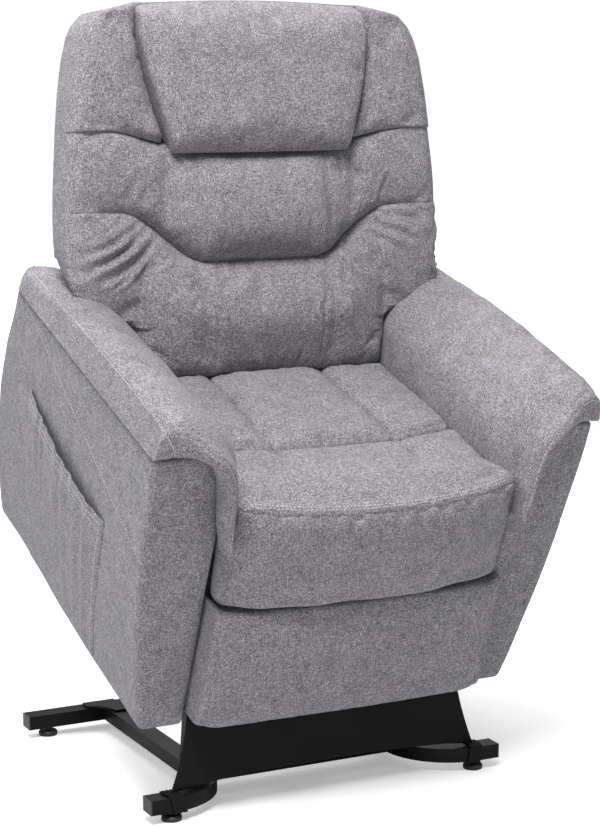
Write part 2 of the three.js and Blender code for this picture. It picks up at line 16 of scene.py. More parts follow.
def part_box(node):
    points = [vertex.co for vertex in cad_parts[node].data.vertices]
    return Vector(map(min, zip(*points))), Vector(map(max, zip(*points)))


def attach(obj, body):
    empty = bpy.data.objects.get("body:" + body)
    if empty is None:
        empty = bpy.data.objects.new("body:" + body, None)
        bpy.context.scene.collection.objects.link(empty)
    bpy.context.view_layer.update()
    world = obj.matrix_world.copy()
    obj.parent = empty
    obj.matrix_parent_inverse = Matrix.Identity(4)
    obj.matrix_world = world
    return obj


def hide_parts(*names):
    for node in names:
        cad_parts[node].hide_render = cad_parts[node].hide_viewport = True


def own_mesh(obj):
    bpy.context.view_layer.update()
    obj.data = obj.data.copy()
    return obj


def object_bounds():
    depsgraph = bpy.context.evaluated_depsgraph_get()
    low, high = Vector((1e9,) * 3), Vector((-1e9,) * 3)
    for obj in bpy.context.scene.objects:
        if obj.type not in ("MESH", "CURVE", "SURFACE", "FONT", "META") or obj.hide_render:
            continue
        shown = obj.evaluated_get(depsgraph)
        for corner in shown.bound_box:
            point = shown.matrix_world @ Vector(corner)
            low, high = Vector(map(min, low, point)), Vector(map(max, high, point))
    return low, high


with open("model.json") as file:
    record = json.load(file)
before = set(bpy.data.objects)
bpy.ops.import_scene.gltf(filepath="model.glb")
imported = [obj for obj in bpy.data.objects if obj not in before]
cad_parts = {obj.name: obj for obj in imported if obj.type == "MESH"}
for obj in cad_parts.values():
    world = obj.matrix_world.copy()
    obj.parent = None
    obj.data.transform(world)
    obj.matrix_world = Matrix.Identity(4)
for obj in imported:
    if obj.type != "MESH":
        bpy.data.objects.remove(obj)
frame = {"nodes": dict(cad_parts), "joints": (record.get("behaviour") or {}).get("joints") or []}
cad_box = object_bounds()

MM = 0.001
LIFT_TILT = math.radians(19.25)      # forward tilt of the chair at the top of its lift
BACK_LEAN = math.radians(23.3)       # rearward lean of the back on the chair frame
RECLINE_PIN = (500, 300)             # recline pin in the chair frame: y, z
BACK_ORIGIN = (491, 480)             # origin of the back frame in the chair frame: y, z

SIDE_NAMES = {1: "left", -1: "right"}
SEAT_TOP = 497
SEAT_FRONT = -50
ARM_TOP = 585
ARM_INNER = 276
STITCH_LENGTH = 4.6
STITCH_PITCH = 7.0


# ------------------------------------------------------------------ frames and small helpers

class Place:
    """A frame in millimetres that sits in the row frame: x is shared, along and up are turned about x."""

    def __init__(self, origin, along, up):
        self.origin = np.array(origin, float)
        self.axes = np.array([(1, 0, 0), along, up], float)

    def to_row(self, points):
        return (self.origin + np.asarray(points, float) @ self.axes) * MM

    def from_row(self, points):
        return (np.asarray(points, float) / MM - self.origin) @ self.axes.T

    def turn(self, direction):
        return np.asarray(direction, float) @ self.axes


def make_places():
    c, s = math.cos(LIFT_TILT), math.sin(LIFT_TILT)
    along, up = np.array([0, c, s]), np.array([0, -s, c])
    pin = next(j for j in frame["joints"] if j["name"] == "recline")["pos_m"]
    origin = np.array(pin) / MM - RECLINE_PIN[0] * along - RECLINE_PIN[1] * up
    chair_place = Place(origin, along, up)
    cb, sb = math.cos(BACK_LEAN), math.sin(BACK_LEAN)
    back_origin = origin + BACK_ORIGIN[0] * along + BACK_ORIGIN[1] * up
    back_place = Place(back_origin, cb * along - sb * up, sb * along + cb * up)
    return chair_place, back_place


chair, back = make_places()


def smooth(x):
    """0 below 0, 1 above 1, and an S between."""
    x = np.clip(x, 0, 1)
    return x * x * (3 - 2 * x)


def bell(x):
    return np.exp(-np.square(x))


def edge_drop(gap, radius):
    """How far a round-over of this radius lies below its face, at a gap from the edge."""
    inward = 1 - np.clip(gap / radius, 0, 1)
    return radius * (1 - np.sqrt(np.clip(1 - np.square(inward), 0, 1)))


def along_points(points, u):
    """The point at share u of a smooth curve through evenly spaced points (Catmull-Rom)."""
    points = np.asarray(points, float)
    ends = np.vstack([2 * points[0] - points[1], points, 2 * points[-1] - points[-2]])
    place = np.clip(u, 0, 1) * (len(points) - 1)
    k = np.minimum(place.astype(int), len(points) - 2)
    f = (place - k)[:, None]
    a, b, c, d = ends[k], ends[k + 1], ends[k + 2], ends[k + 3]
    return 0.5 * (2 * b + (c - a) * f + (2 * a - 5 * b + 4 * c - d) * f**2 + (3 * b - a - 3 * c + d) * f**3)


def uneven(x, y, z, size, seed):
    """Soft unevenness from -1 to 1 at these places, with lumps about size across."""
    shift = Vector((seed, -seed, seed))
    return np.array([noise.noise(Vector(p) / size + shift) for p in np.column_stack([x, y, z])])


def lattice(half, radius, step, arc):
    ends = radius * np.sin(np.linspace(0, math.pi / 2, arc + 1))[1:]
    count = max(2, round(2 * (half - radius) / step))
    flat = np.linspace(radius - half, half - radius, count + 1)
    return np.concatenate([radius - half - ends[::-1], flat, half - radius + ends])


class Grid:
    """A closed box of quads with rounded edges, to be warped into a soft shape. Sizes in millimetres.

    share runs from -1 to 1 on each axis, over the rounded box. lattice does too, as if it weren't rounded.
    """

    def __init__(self, half, radius, step, arc=6, open_faces=()):
        half, radius = np.array(half, float), np.array(radius, float)
        steps = [step] * 3 if np.isscalar(step) else step
        axes = [lattice(half[k], radius[k], steps[k], arc) for k in range(3)]
        count = [len(a) for a in axes]
        ids, places, quads = {}, [], []
        for axis in range(3):
            u, v = (axis + 1) % 3, (axis + 2) % 3
            for side in (0, 1):
                if (axis, side) in open_faces:
                    continue
                for a in range(count[u] - 1):
                    for b in range(count[v] - 1):
                        ring = [(a, b), (a + 1, b), (a + 1, b + 1), (a, b + 1)]
                        quad = []
                        for pair in ring if side else ring[::-1]:
                            key = [0, 0, 0]
                            key[axis], key[u], key[v] = side * (count[axis] - 1), pair[0], pair[1]
                            key = tuple(key)
                            if key not in ids:
                                ids[key] = len(places)
                                places.append([axes[k][key[k]] for k in range(3)])
                            quad.append(ids[key])
                        quads.append(quad)
        q = np.array(places)
        inner = np.clip(q, radius - half, half - radius)
        d = (q - inner) / radius
        length = np.linalg.norm(d, axis=1)[:, None]
        self.share = (inner + d / np.maximum(length, 1e-9) * radius) / half
        self.lattice = q / half
        self.quads = quads


def make_mesh(name, points, quads):
    """A smooth-shaded mesh object. points are in metres in the row frame."""
    data = bpy.data.meshes.new(name)
    data.from_pydata([tuple(p) for p in points], [], quads)
    data.polygons.foreach_set("use_smooth", [True] * len(data.polygons))
    data.update()
    piece = bpy.data.objects.new(name, data)
    bpy.context.scene.collection.objects.link(piece)
    return piece


def make_cover(name, place, x, y, z, quads):
    """A mesh object from coordinates in millimetres in the place's frame."""
    return make_mesh(name, place.to_row(np.column_stack([x, y, z])), quads)


def turned(quads, flip):
    """The quads, or where flip is true the same quads facing the other way."""
    return [q[::-1] for q in quads] if flip else quads


def layered_quads(rows, columns, ring=False):
    """Faces of a closed sheet that has two layers of points, row by row. The columns of a ring join up."""
    wide = columns if ring else columns + 1
    layer, top = (rows + 1) * wide, rows * wide
    quads, edges = [], []
    for k in range(columns):
        after = (k + 1) % wide
        edges += [(k, after), (top + after, top + k)]
        for r in range(rows):
            a, b = r * wide + k, r * wide + after
            quads.append([a, b, b + wide, a + wide])
            quads.append([layer + a + wide, layer + b + wide, layer + b, layer + a])
    if not ring:
        for r in range(rows):
            edges += [(r * wide + columns, (r + 1) * wide + columns), ((r + 1) * wide, r * wide)]
    return quads + [[b, a, layer + a, layer + b] for a, b in edges]


def read_vectors(data, kind="co"):
    """Places or normals of a mesh's vertices, as rows of three."""
    values = np.zeros(len(data.vertices) * 3)
    data.vertices.foreach_get(kind, values)
    return values.reshape(-1, 3)


def write_points(piece, points):
    piece.data.vertices.foreach_set("co", np.asarray(points, np.float32).ravel())
    piece.data.update()


def keep_result(piece):
    """Turns the piece's modifiers into its mesh."""
    view = bpy.context.evaluated_depsgraph_get()
    done = bpy.data.meshes.new_from_object(piece.evaluated_get(view))
    piece.modifiers.clear()
    piece.data = done


def subdivide(piece, levels=1):
    piece.modifiers.new("finer", "SUBSURF").levels = levels
    keep_result(piece)


def press(piece, place, depth):
    """Moves each vertex outward along its normal by depth(x, y, z), in millimetres of the place's frame."""
    points, normals = read_vectors(piece.data), read_vectors(piece.data, "normal")
    x, y, z = place.from_row(points).T
    write_points(piece, points + normals * (depth(x, y, z) * MM)[:, None])


def crease(x, z, start, end, depth, width):
    """A fold with a valley and a ridge beside it, fading at both ends, on the plane x, z."""
    start, end = np.array(start, float), np.array(end, float)
    run = end - start
    length = np.hypot(*run)
    run = run / length
    a = (x - start[0]) * run[0] + (z - start[1]) * run[1]
    b = (z - start[1]) * run[0] - (x - start[0]) * run[1]
    b = b - 0.05 * length * np.sin(a / length * math.pi)
    fade = np.sin(np.clip(a / length, 0, 1) * math.pi) ** 0.7
    return fade * depth * (0.8 * bell((b - 1.5 * width) / width) - bell(b / width))


def creases(x, z, folds):
    """Sum of creases, each given by its start, end, depth and width."""
    return sum(crease(x, z, *fold) for fold in folds)


# ------------------------------------------------------------------ materials

def new_material(name, rough, metal=0.0):
    """A material, its node tree, its shader and the object's own coordinates, in metres."""
    made = bpy.data.materials.new(name)
    made.use_nodes = True
    tree = made.node_tree
    shader = tree.nodes["Principled BSDF"]
    shader.inputs["Roughness"].default_value = rough
    shader.inputs["Metallic"].default_value = metal
    return made, tree, shader, node(tree, "ShaderNodeTexCoord").outputs["Object"]


def feed(tree, socket, value):
    """Links value to the socket where it is another node's output, and sets it otherwise."""
    if isinstance(value, bpy.types.NodeSocket):
        tree.links.new(value, socket)
    else:
        socket.default_value = value


def node(tree, kind, settings=None, **inputs):
    made = tree.nodes.new(kind)
    for key, value in (settings or {}).items():
        setattr(made, key, value)
    for key, value in inputs.items():
        feed(tree, made.inputs[key.replace("_", " ")], value)
    return made


def math_node(tree, operation, a, b, kind="ShaderNodeMath"):
    made = node(tree, kind, {"operation": operation})
    feed(tree, made.inputs[0], a)
    feed(tree, made.inputs[1], b)
    return made.outputs[0]


def noise_of(tree, where, scale, **inputs):
    return node(tree, "ShaderNodeTexNoise", Vector=where, Scale=scale, **inputs).outputs["Fac"]


def paint(tree, shader, value, stops):
    """Base colour from a value, by the colours at these places."""
    made = node(tree, "ShaderNodeValToRGB", Fac=value)
    elements = made.color_ramp.elements
    while len(elements) < len(stops):
        elements.new(0.5)
    for element, (place, colour) in zip(elements, stops):
        element.position = place
        element.color = (*colour, 1)
    tree.links.new(made.outputs["Color"], shader.inputs["Base Color"])


def add_bump(tree, shader, height, strength, distance):
    bump = node(tree, "ShaderNodeBump", Strength=strength, Distance=distance, Height=height)
    tree.links.new(bump.outputs["Normal"], shader.inputs["Normal"])


def vary_gloss(tree, shader, value, least, most):
    gloss = node(tree, "ShaderNodeMapRange", Value=value, To_Min=least, To_Max=most)
    tree.links.new(gloss.outputs["Result"], shader.inputs["Roughness"])


def streaks(tree, where, sizes, seed):
    """Noise whose cells have these sizes, in millimetres, along the cloth's three directions."""
    vector = "ShaderNodeVectorMath"
    scaled = math_node(tree, "MULTIPLY", where, [1000 / size for size in sizes], vector)
    moved = math_node(tree, "ADD", scaled, (seed, seed, seed), vector)
    return noise_of(tree, moved, 1.0, Detail=1.5, Roughness=0.6)


def make_upholstery(name, turn):
    """Heathered grey woven fabric: light and dark threads both ways, flecks and soft clouds.

    turn tips the threads about x, so that they run along the frame that the cover belongs to.
    """
    made, tree, shader, solid = new_material(name, 0.9)
    where = node(tree, "ShaderNodeMapping", Vector=solid, Rotation=(-turn, 0, 0)).outputs["Vector"]
    warp = streaks(tree, where, (1.5, 1.5, 11.0), 3.1)
    weft = streaks(tree, where, (10.0, 1.5, 1.6), 9.7)
    cross = streaks(tree, where, (1.5, 10.0, 1.6), 17.3)
    fleck = streaks(tree, where, (2.2, 2.2, 2.2), 5.2)
    cloud = noise_of(tree, solid, 30.0, Detail=3.0, Roughness=0.55)
    threads = math_node(tree, "ADD", math_node(tree, "ADD", warp, weft), cross)
    mixed = math_node(tree, "MULTIPLY", threads, 0.19)
    for layer, share in ((fleck, 0.36), (cloud, 0.07)):
        mixed = math_node(tree, "ADD", mixed, math_node(tree, "MULTIPLY", layer, share))
    paint(tree, shader, mixed, [(0.42, (0.082, 0.076, 0.084)), (0.48, (0.158, 0.150, 0.166)),
                                (0.53, (0.236, 0.227, 0.245)), (0.60, (0.395, 0.384, 0.41))])
    add_bump(tree, shader, mixed, 0.5, 0.0008)
    shader.inputs["Sheen Weight"].default_value = 0.1
    shader.inputs["Sheen Roughness"].default_value = 0.5
    shader.inputs["Specular IOR Level"].default_value = 0.2
    return made


def make_thread(name, dark, light):
    """Twisted sewing thread between two shades."""
    made, tree, shader, solid = new_material(name, 0.65)
    paint(tree, shader, noise_of(tree, solid, 900.0, Detail=1.0), [(0.3, dark), (0.7, light)])
    return made


def make_skirt_cloth():
    """Black stretch cloth with a fine rib."""
    made, tree, shader, solid = new_material("black_skirt_cloth", 0.8)
    rib = node(tree, "ShaderNodeTexWave", {"bands_direction": "X"}, Vector=solid, Scale=180.0,
               Distortion=0.6, Detail=1.0).outputs["Fac"]
    both = math_node(tree, "MULTIPLY", rib, noise_of(tree, solid, 700.0, Detail=2.0))
    paint(tree, shader, both, [(0.1, (0.003, 0.003, 0.0035)), (0.6, (0.011, 0.011, 0.012))])
    add_bump(tree, shader, both, 0.25, 0.0004)
    shader.inputs["Specular IOR Level"].default_value = 0.2
    return made


def make_powder_coat():
    """Black powder coat with orange peel and rubbed, slightly shinier patches."""
    made, tree, shader, solid = new_material("black_powder_coat", 0.42)
    peel = noise_of(tree, solid, 520.0, Detail=2.0)
    patch = noise_of(tree, solid, 14.0, Detail=3.0)
    paint(tree, shader, patch, [(0.35, (0.003, 0.003, 0.0035)), (0.7, (0.007, 0.007, 0.008))])
    vary_gloss(tree, shader, patch, 0.34, 0.5)
    add_bump(tree, shader, peel, 0.18, 0.0003)
    shader.inputs["Specular IOR Level"].default_value = 0.14
    return made


def make_steel():
    """Zinc-bright steel with fine drawn scratches."""
    made, tree, shader, solid = new_material("zinc_steel", 0.32, 1.0)
    stretched = node(tree, "ShaderNodeMapping", Vector=solid, Scale=(1.0, 0.05, 1.0)).outputs["Vector"]
    scratch = noise_of(tree, stretched, 900.0, Detail=3.0)
    paint(tree, shader, scratch, [(0.3, (0.42, 0.43, 0.44)), (0.7, (0.62, 0.63, 0.64))])
    vary_gloss(tree, shader, scratch, 0.24, 0.42)
    return made


def make_black_plastic():
    """Moulded black plastic with a fine spark-eroded grain."""
    made, tree, shader, solid = new_material("black_plastic", 0.55)
    grain = node(tree, "ShaderNodeTexVoronoi", Vector=solid, Scale=900.0).outputs["Distance"]
    paint(tree, shader, grain, [(0.1, (0.010, 0.010, 0.011)), (0.8, (0.022, 0.022, 0.023))])
    add_bump(tree, shader, grain, 0.2, 0.0003)
    return made


def make_wood():
    """Plywood board with drawn-out grain."""
    made, tree, shader, solid = new_material("plywood", 0.62)
    stretched = node(tree, "ShaderNodeMapping", Vector=solid, Scale=(1.0, 8.0, 8.0)).outputs["Vector"]
    grain = noise_of(tree, stretched, 9.0, Detail=6.0, Roughness=0.65, Distortion=0.6)
    paint(tree, shader, grain, [(0.3, (0.30, 0.18, 0.09)), (0.7, (0.58, 0.41, 0.24))])
    add_bump(tree, shader, grain, 0.15, 0.0004)
    return made


materials = {
    "upholstery": make_upholstery("heather_weave", LIFT_TILT),
    "skirt_cloth": make_skirt_cloth(),
    "base_paint": make_powder_coat(),
    "bright_steel": make_steel(),
    "black_plastic": make_black_plastic(),
    "board_wood": make_wood(),
}
back_weave = make_upholstery("heather_weave_back", LIFT_TILT - BACK_LEAN)
pale_thread = make_thread("pale_thread", (0.36, 0.35, 0.36), (0.58, 0.56, 0.58))
grey_thread = make_thread("grey_thread", (0.16, 0.155, 0.165), (0.28, 0.27, 0.29))


def finish_cad_nodes():
    """Gives each CAD node that stays in view the finish of its slot."""
    for name, piece in frame["nodes"].items():
        slot = "upholstery" if name == "cord_grommet" else piece.data.materials[0].name.split(".")[0]
        piece.data.materials.clear()
        piece.data.materials.append(materials.get(slot, materials["base_paint"]))


def dress(piece, body, node_name):
    """Material, body and replaced node of one finished upholstered piece."""
    piece.data.materials.clear()
    piece.data.materials.append(back_weave if body == "back" else materials["upholstery"])
    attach(piece, body)
    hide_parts(node_name)


def finish(piece, body, node_name, depth, levels=1):
    """Subdivides a stuffed piece, presses its seams and folds in, and dresses it."""
    subdivide(piece, levels)
    press(piece, back if body == "back" else chair, depth)
    dress(piece, body, node_name)


# ------------------------------------------------------------------ stuffing by cloth simulation

STUFFING_FRAMES = 18
CLOTH = {
    "quality": 5, "mass": 0.25, "tension_stiffness": 12, "compression_stiffness": 12,
    "shear_stiffness": 5, "bending_stiffness": 0.4, "use_pressure": True, "vertex_group_mass": "held",
}
stuffed = []


def stuff(piece, held, cap, pressure=4.0, slack=0.03):
    """Notes a piece whose cover is to swell over its filling. held is 1 where it is sewn or rests."""
    stuffed.append((piece, held, cap, pressure, slack))


def set_up_cloth(piece, held, pressure, slack):
    group = piece.vertex_groups.new(name="held")
    for level in range(1, 11):
        some = np.nonzero(np.round(held * 10).astype(int) == level)[0]
        if len(some):
            group.add([int(i) for i in some], level / 10, "REPLACE")
    cloth = piece.modifiers.new("cloth", "CLOTH")
    for key, value in CLOTH.items():
        setattr(cloth.settings, key, value)
    cloth.settings.uniform_pressure_force = pressure
    cloth.settings.shrink_min = -slack
    cloth.settings.effector_weights.gravity = 0
    cloth.collision_settings.use_collision = False
    cloth.point_cache.frame_start = 1
    cloth.point_cache.frame_end = STUFFING_FRAMES


def run_stuffing():
    """Runs the cloth of every noted piece together and keeps the swollen, capped result in its mesh."""
    scene = bpy.context.scene
    for piece, held, cap, pressure, slack in stuffed:
        set_up_cloth(piece, held, pressure, slack)
    for number in range(1, STUFFING_FRAMES + 1):
        scene.frame_set(number)
    view = bpy.context.evaluated_depsgraph_get()
    results = [read_vectors(piece.evaluated_get(view).to_mesh()) for piece, *_ in stuffed]
    for (piece, held, cap, pressure, slack), points in zip(stuffed, results):
        start = read_vectors(piece.data)
        move = points - start
        length = np.linalg.norm(move, axis=1)[:, None]
        limit = cap * MM
        move = move / np.maximum(length, 1e-9) * limit * np.tanh(length / limit)
        piece.modifiers.clear()
        piece.vertex_groups.clear()
        write_points(piece, start + move)
    scene.frame_set(1)


# ------------------------------------------------------------------ topstitching

def stitch_run(piece, place, points, direction):
    """Both ends and the normal of each stitch along a line that is laid on a piece, in the row frame."""
    surface = BVHTree.FromObject(piece, bpy.context.evaluated_depsgraph_get())
    line = place.to_row(points)
    look = Vector(place.turn(direction)).normalized()
    lengths = np.concatenate([[0], np.cumsum(np.linalg.norm(np.diff(line, axis=0), axis=1))])
    spots = np.arange(STITCH_PITCH / 2, lengths[-1] / MM, STITCH_PITCH) * MM
    found = []
    for spot in spots:
        ends = []
        for shift in (-0.5, 0.5):
            at = spot + shift * STITCH_LENGTH * MM
            p = Vector([np.interp(at, lengths, line[:, k]) for k in range(3)])
            hit, normal, _, _ = surface.ray_cast(p - look * 0.09, look, 0.18)
            if hit is None:
                break
            ends.append((hit, normal))
        if len(ends) == 2:
            found.append((ends[0][0], ends[1][0], (ends[0][1] + ends[1][1]).normalized()))
    return found


def make_stitches(name, body, runs, width=1.3, proud=0.55, thread=pale_thread):
    """One mesh of small rounded stitches. Each run is a piece, its place, a line and the way to look."""
    points, quads = [], []
    for run_on in runs:
        for a, b, normal in stitch_run(*run_on):
            run = b - a
            side = normal.cross(run).normalized() * (width / 2 * MM)
            lift = normal * (proud * MM)
            sink = normal * (-0.5 * MM)
            base = len(points)
            for t, wide, high in ((0, 0.45, 0.1), (0.25, 1, 1), (0.75, 1, 1), (1, 0.45, 0.1)):
                mid = a + run * t
                points += [mid - side * wide + sink, mid + side * wide + sink,
                           mid + side * wide * 0.7 + lift * high, mid - side * wide * 0.7 + lift * high]
            for k in range(3):
                r = base + 4 * k
                for c in range(4):
                    n = (c + 1) % 4
                    quads.append([r + c, r + n, r + 4 + n, r + 4 + c])
            quads.append([base + 3, base + 2, base + 1, base])
            quads.append([base + 12, base + 13, base + 14, base + 15])
    piece = make_mesh(name, points, quads)
    piece.data.materials.append(thread)
    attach(piece, body)
    return piece


# ------------------------------------------------------------------ the back
#
# x, v and w are millimetres across, rearward and up in the back frame. On each piece s runs across from
# -1 to 1, t from its lower edge at 0 to its upper edge at 1, and e from its rear at 0 to its front at 1.

def half_width(w):
    """Half the width of the back's bands at height w."""
    return np.interp(w, [210, 250, 290, 330, 380, 435, 500, 560, 600, 620, 640, 656],
                     [372, 374, 373, 371, 367, 362, 355, 345, 334, 324, 304, 272])


def seam_round(x, radius):
    """Round-over of a band into its seams: full in the middle, and almost none at the sides."""
    return 4 + (radius - 4) * smooth((340 - np.abs(x)) / 190)


SEAM_MIDDLE = 209      # height of the lower seam at the middle
SEAM_RISE = 84         # how much higher it runs at the sides
SEAM_LAP = 2           # how far neighbouring bands reach past their seam


def lower_seam(x):
    return SEAM_MIDDLE + SEAM_RISE * smooth((np.abs(x) - 108) / 165)


def upper_seam(x):
    return 405 + 30 * smooth((np.abs(x) - 120) / 180)


def pillow_side(w):
    """Half the width of the head pillow at height w."""
    return np.interp(w, [404, 415, 440, 480, 520, 560, 600, 640, 670],
                     [173, 177, 187, 200, 211, 220, 226, 224, 214])


BACK_REAR = 35.5        # where the cushions end at the rear
SEWN = (-128, 128)      # double-stitched seams down the back's bands


def double_seam(x):
    """Grooves of the seams that run down the back, with their two stitched lines."""
    return -3.0 * sum(bell((x - at) / 2.2) + 0.5 * bell((np.abs(x - at) - 6) / 1.6) for at in SEWN)


def shape_band(name, low, high, front, round_over, under=None):
    """A sewn band of the back between two seam lines, rounded down into them."""
    tall = (high(np.zeros(1))[0] - low(np.zeros(1))[0]) / 2
    grid = Grid((380, 46, tall), (26, 10, round_over), 7.0)
    s, t = grid.lattice[:, 0], (grid.lattice[:, 2] + 1) / 2
    e = (1 - grid.lattice[:, 1]) / 2
    x = s * 380
    for _ in range(3):
        w = low(x) + t * (high(x) - low(x))
        x = s * half_width(w)
    span = high(x) - low(x)
    radius = seam_round(x, round_over)
    seam_drop = edge_drop(t * span, radius) + edge_drop((1 - t) * span, radius)
    side_drop = edge_drop((1 - np.abs(s)) * half_width(w), 30)
    if under is not None:
        w = w - under(x, t) * smooth((e - 0.55) / 0.3)
    v = BACK_REAR - e * (BACK_REAR + front(x, w, t) - seam_drop - side_drop)
    piece = make_cover(name, back, x, v, w, grid.quads)
    sewn = np.maximum.reduce([smooth((np.abs(s) - 0.955) / 0.02),
                              smooth((6 - np.minimum(t, 1 - t) * span) / 3),
                              smooth((0.8 - e) / 0.1)])
    held = np.maximum(sewn, 0.8 * np.max([bell((x - at) / 9) for at in SEWN], axis=0))
    return piece, held


def make_middle_band():
    """Cushion between the two seams that run across the back, fullest below its middle."""
    def front(x, w, t):
        centre = smooth((190 - np.abs(x)) / 90)
        swell = 30 * centre * bell((t - 0.36) / 0.5)
        return 38 + swell + 3 * np.sin(math.pi * t)

    def under(x, t):
        return 10 * smooth((200 - np.abs(x)) / 80) * bell((t - 0.06) / 0.16)

    piece, held = shape_band("middle_back_cushion", lambda x: lower_seam(x) - SEAM_LAP,
                             lambda x: upper_seam(x) + SEAM_LAP, front, 42, under)
    stuff(piece, held, 9)
    return piece


def finish_middle_band(piece):
    def depth(x, v, w):
        facing = smooth((-v - 8) / 15)
        folds = creases(x, w, (
            ((150, 398), (166, 345), 5.0, 5), ((176, 392), (190, 352), 2.5, 5),
            ((242, 285), (262, 352), 3.5, 6), ((-170, 400), (-150, 360), 2.0, 6),
            ((-240, 300), (-200, 350), 2.0, 9)))
        return facing * (double_seam(x) + folds + 1.2 * uneven(x, v, w, 55, 4.0))
    finish(piece, "back", "middle_cushion", depth)


def make_upper_band():
    """Top cushion of the back. It lies thin behind the head pillow and stands up beside it."""
    def high(x):
        return 662 - 22 * smooth((np.abs(x) - 200) / 115)

    def front(x, w, t):
        beside = (np.abs(x) - pillow_side(w)) / 24
        rise = np.sqrt(np.clip(1 - np.square(1 - np.clip(beside, 0, 1)), 0, 1))
        return np.where(beside <= 0, 12, 12 + 32 * rise) - 5 * smooth((t - 0.6) / 0.4)

    piece, held = shape_band("upper_back_cushion", lambda x: upper_seam(x) - SEAM_LAP, high, front, 26)
    x, v, w = back.from_row(read_vectors(piece.data)).T
    held = np.maximum(held, smooth((pillow_side(w) + 6 - np.abs(x)) / 8))
    stuff(piece, held, 8)
    return piece


def finish_upper_band(piece):
    def depth(x, v, w):
        facing = smooth((-v - 8) / 15)
        folds = creases(x, w, (((-268, 645), (-300, 600), 2.5, 6), ((262, 640), (290, 590), 2.0, 7)))
        return facing * (folds + 1.3 * uneven(x, v, w, 60, 8.0))
    finish(piece, "back", "upper_cushion", depth)


def make_pillow():
    """Head pillow in front of the upper band, thickest at its lower edge."""
    low, high = 404, 664
    grid = Grid((235, 45, (high - low) / 2), (20, 10, 34), 7.0)
    s, t = grid.lattice[:, 0], (grid.lattice[:, 2] + 1) / 2
    e = (1 - grid.lattice[:, 1]) / 2
    w = low + t * (high - low) - 8 * np.square(s) * smooth((t - 0.7) / 0.3)
    x = s * (pillow_side(w) - 1.0)
    deep = 58 + 15 * (1 - smooth((t - 0.12) / 0.7)) - 10 * smooth((t - 0.65) / 0.35) - 4 * s**4
    drop = (edge_drop((1 - np.abs(s)) * 215, 15) + edge_drop(t * (high - low), 26)
            + edge_drop((1 - t) * (high - low), 40))
    rear = -14.0
    w = w - 12 * bell((t - 0.03) / 0.1) * smooth((e - 0.5) / 0.3)
    v = rear - e * (deep - drop + rear)
    piece = make_cover("head_pillow", back, x, v, w, grid.quads)
    held = np.maximum.reduce([smooth((np.abs(s) - 0.965) / 0.02),
                              smooth((0.012 - np.minimum(t, 1 - t)) / 0.008),
                              smooth((0.7 - e) / 0.2)])
    stuff(piece, held, 9)
    return piece


def finish_pillow(piece):
    def depth(x, v, w):
        facing = smooth((-v - 24) / 15)
        edge = pillow_side(w) - np.abs(x)
        pucker = creases(x, w, [((at, 662), (at + lean, 662 - long), 1.8, 4) for at, lean, long in (
            (-16, 12, 46), (2, 6, 34), (22, 20, 52), (58, 10, 30))])
        return facing * (-2.0 * bell((edge - 9) / 1.8) - 1.2 * bell((edge - 16) / 1.8) + pucker
                         + 1.0 * uneven(x, v, w, 70, 2.0))
    finish(piece, "back", "headrest_pillow", depth)


LUMBAR_SIDE = [(0.0, 245, -6), (0.14, 247, 44), (0.28, 248, 72), (0.38, 250, 86), (0.47, 264, 97),
               (0.56, 300, 111), (0.66, 347, 128), (0.75, 368, 155), (0.83, 371, 198), (0.91, 374, 245),
               (1.0, 373, 294)]


def lumbar_row(t):
    """Half width and height of the lumbar cushion's side at share t of its rows, corners eased."""
    places, halves, heights = np.array(LUMBAR_SIDE).T
    reach = np.minimum(0.03, np.minimum(t, 1 - t))
    x = sum(np.interp(t + d * reach, places, halves) for d in (-1, 0, 1)) / 3
    w = sum(np.interp(t + d * reach, places, heights) for d in (-1, 0, 1)) / 3
    return x, w


def make_lumbar():
    """Lowest cushion of the back, with a wing on each side that widens above the arm."""
    grid = Grid((300, 46, 140), (26, 10, 24), (5.5, 9, 5.0))
    s, t = grid.lattice[:, 0], (grid.lattice[:, 2] + 1) / 2
    e = (1 - grid.lattice[:, 1]) / 2
    side_x, side_w = lumbar_row(t)
    centre_w = -8 + (lower_seam(0) + 10) * t
    x = s * side_x
    seam_shape = (lower_seam(x) - lower_seam(0)) / SEAM_RISE
    bend = (1 - t**4) * np.abs(s) ** 2.2 + t**4 * seam_shape * np.minimum(1, np.abs(s) * 3)
    w = centre_w + (side_w - centre_w) * bend
    w = np.minimum(w, lower_seam(x) + SEAM_LAP)
    rise = w / lower_seam(x)
    centre = smooth((250 - np.abs(x)) / 120)
    wing = smooth((np.abs(x) - 235) / 30) * smooth((215 - side_w) / 30)
    deep = 40 + 30 * centre * bell((rise - 0.52) / 0.36) - 8 * centre * smooth((rise - 0.8) / 0.2)
    by_arm = smooth((side_w - 30) / 30) * smooth((200 - side_w) / 30)
    side_drop = edge_drop((1 - np.abs(s)) * 300, 26)
    top_radius = seam_round(x, 34)
    drop = side_drop * (1 - 0.55 * by_arm) + edge_drop(t * 200, 24) + edge_drop((1 - t) * 200, top_radius)
    w = w + 50 * wing * (1 - e) * smooth((np.abs(s) - 0.75) / 0.25)
    v = BACK_REAR - e * (BACK_REAR + deep - drop)
    piece = make_cover("lumbar_cushion_cover", back, x, v, w, grid.quads)
    edge = (1 - np.abs(s)) * side_x
    for label, values in (("from_side", edge), ("row", t)):
        layer = piece.data.attributes.new(label, "FLOAT", "POINT")
        layer.data.foreach_set("value", values.astype(np.float32))
    held = np.maximum.reduce([smooth((np.abs(s) - 0.975) / 0.02),
                              smooth((0.02 - np.minimum(t, 1 - t)) / 0.012),
                              smooth((0.8 - e) / 0.1),
                              0.8 * np.max([bell((x - at) / 9) for at in SEWN], axis=0)])
    stuff(piece, held, 9, slack=0.04)
    return piece


